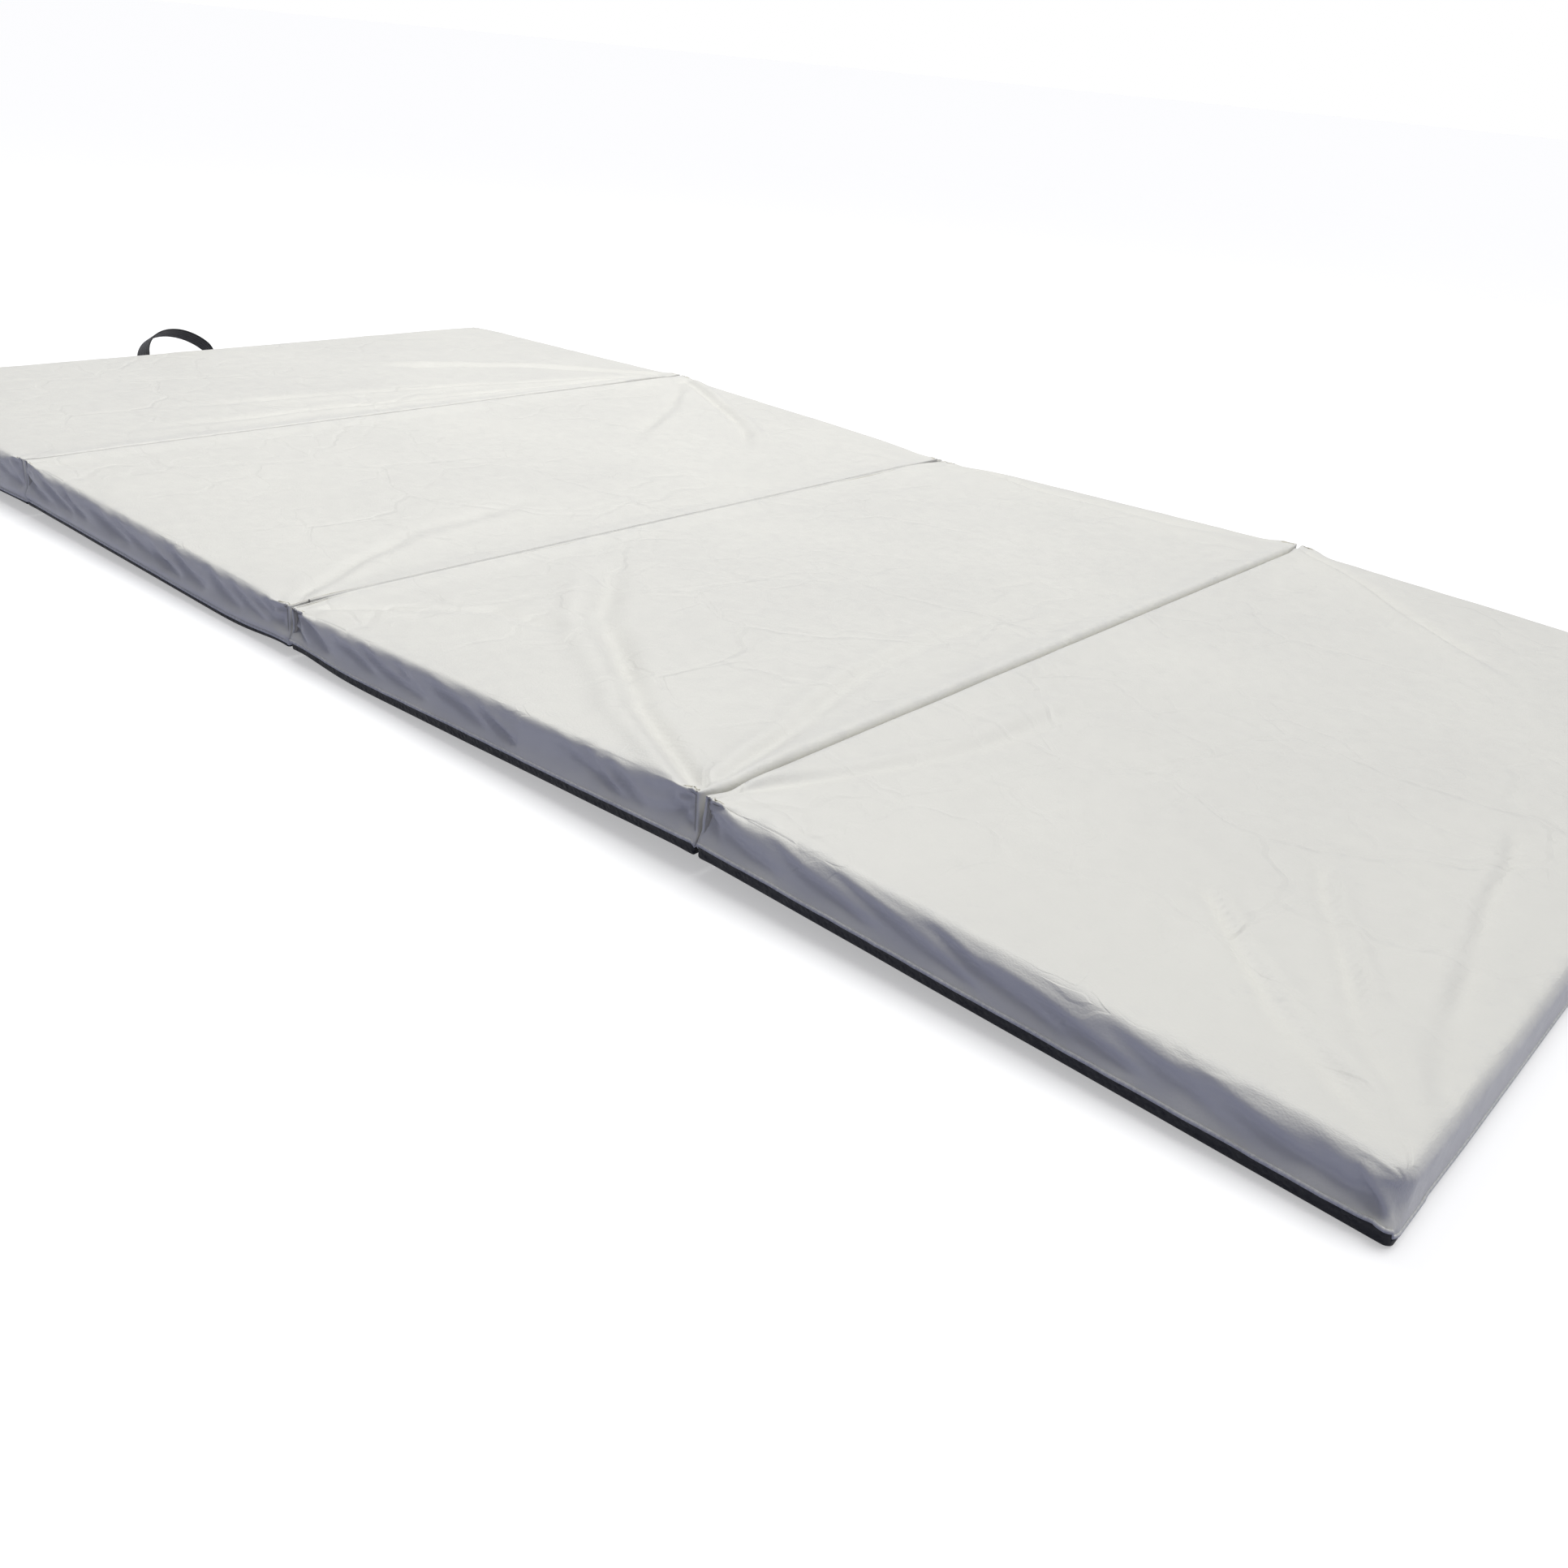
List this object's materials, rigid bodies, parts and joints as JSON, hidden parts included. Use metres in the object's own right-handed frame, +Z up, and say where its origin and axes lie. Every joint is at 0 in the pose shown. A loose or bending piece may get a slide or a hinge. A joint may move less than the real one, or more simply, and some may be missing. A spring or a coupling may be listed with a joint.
{
  "type": "folding gym mat",
  "caption": "Thick white exercise mat of hinged foam panels in sewn vinyl covers with a dark non-slip base and webbing carry loops on its ends, folding like a concertina.",
  "frame": {"origin": "on the floor under the middle of the unfolded mat", "axes": "+X along the unfolded mat towards panel 4, +Y across it, +Z up"},
  "size_m": [2.1174, 1, 0.08],
  "materials": {
    "foam": "closed-cell foam, cut faces",
    "cover_vinyl": "satin coated vinyl with a fine grain and soft creases",
    "base_vinyl": "matt dimpled non-slip",
    "binding_tape": "folded tape edge with a row of stitches",
    "hinge_cloth": "coated cloth, folded",
    "webbing": "woven polypropylene webbing"
  },
  "bodies": {
    "panel_1": {"foam_core_1": "foam", "top_cover_1": "cover_vinyl", "base_cover_1": "base_vinyl", "seam_binding_1": "binding_tape", "handle_tabs_1": "webbing"},
    "panel_2": {"foam_core_2": "foam", "top_cover_2": "cover_vinyl", "base_cover_2": "base_vinyl", "seam_binding_2": "binding_tape", "hinge_strip_1": "hinge_cloth", "hinge_strip_2": "hinge_cloth"},
    "panel_3": {"foam_core_3": "foam", "top_cover_3": "cover_vinyl", "base_cover_3": "base_vinyl", "seam_binding_3": "binding_tape", "hinge_strip_3": "hinge_cloth"},
    "panel_4": {"foam_core_4": "foam", "top_cover_4": "cover_vinyl", "base_cover_4": "base_vinyl", "seam_binding_4": "binding_tape", "handle_tabs_4": "webbing"},
    "handle_1": {"handle_loop_1": "webbing"},
    "handle_4": {"handle_loop_4": "webbing"}
  },
  "joints": [
    {"name": "fold_1", "type": "hinge", "parent": "panel_2", "child": "panel_1", "pos_m": [-0.50187, 0, 0.01171], "axis": [0, -1, 0], "range_deg": [-2.75, 177.25], "deforming": ["hinge_strip_1"]},
    {"name": "fold_2", "type": "hinge", "parent": "panel_2", "child": "panel_3", "pos_m": [0, 0, 0.0523], "axis": [0, -1, 0], "range_deg": [-3.09, 176.91], "deforming": ["hinge_strip_2"]},
    {"name": "fold_3", "type": "hinge", "parent": "panel_3", "child": "panel_4", "pos_m": [0.5021, 0, 0.01472], "axis": [0, 1, 0], "range_deg": [-3.43, 176.57], "deforming": ["hinge_strip_3"]},
    {"name": "handle_1_swing", "type": "hinge", "parent": "panel_1", "child": "handle_1", "pos_m": [-1.0026, -0.04, 0.02602], "axis": [0, 1, 0], "range_deg": [-110, 10]},
    {"name": "handle_4_swing", "type": "hinge", "parent": "panel_4", "child": "handle_4", "pos_m": [1.00291, -0.04, 0.02603], "axis": [0, -1, 0], "range_deg": [-53, 67]}
  ]
}
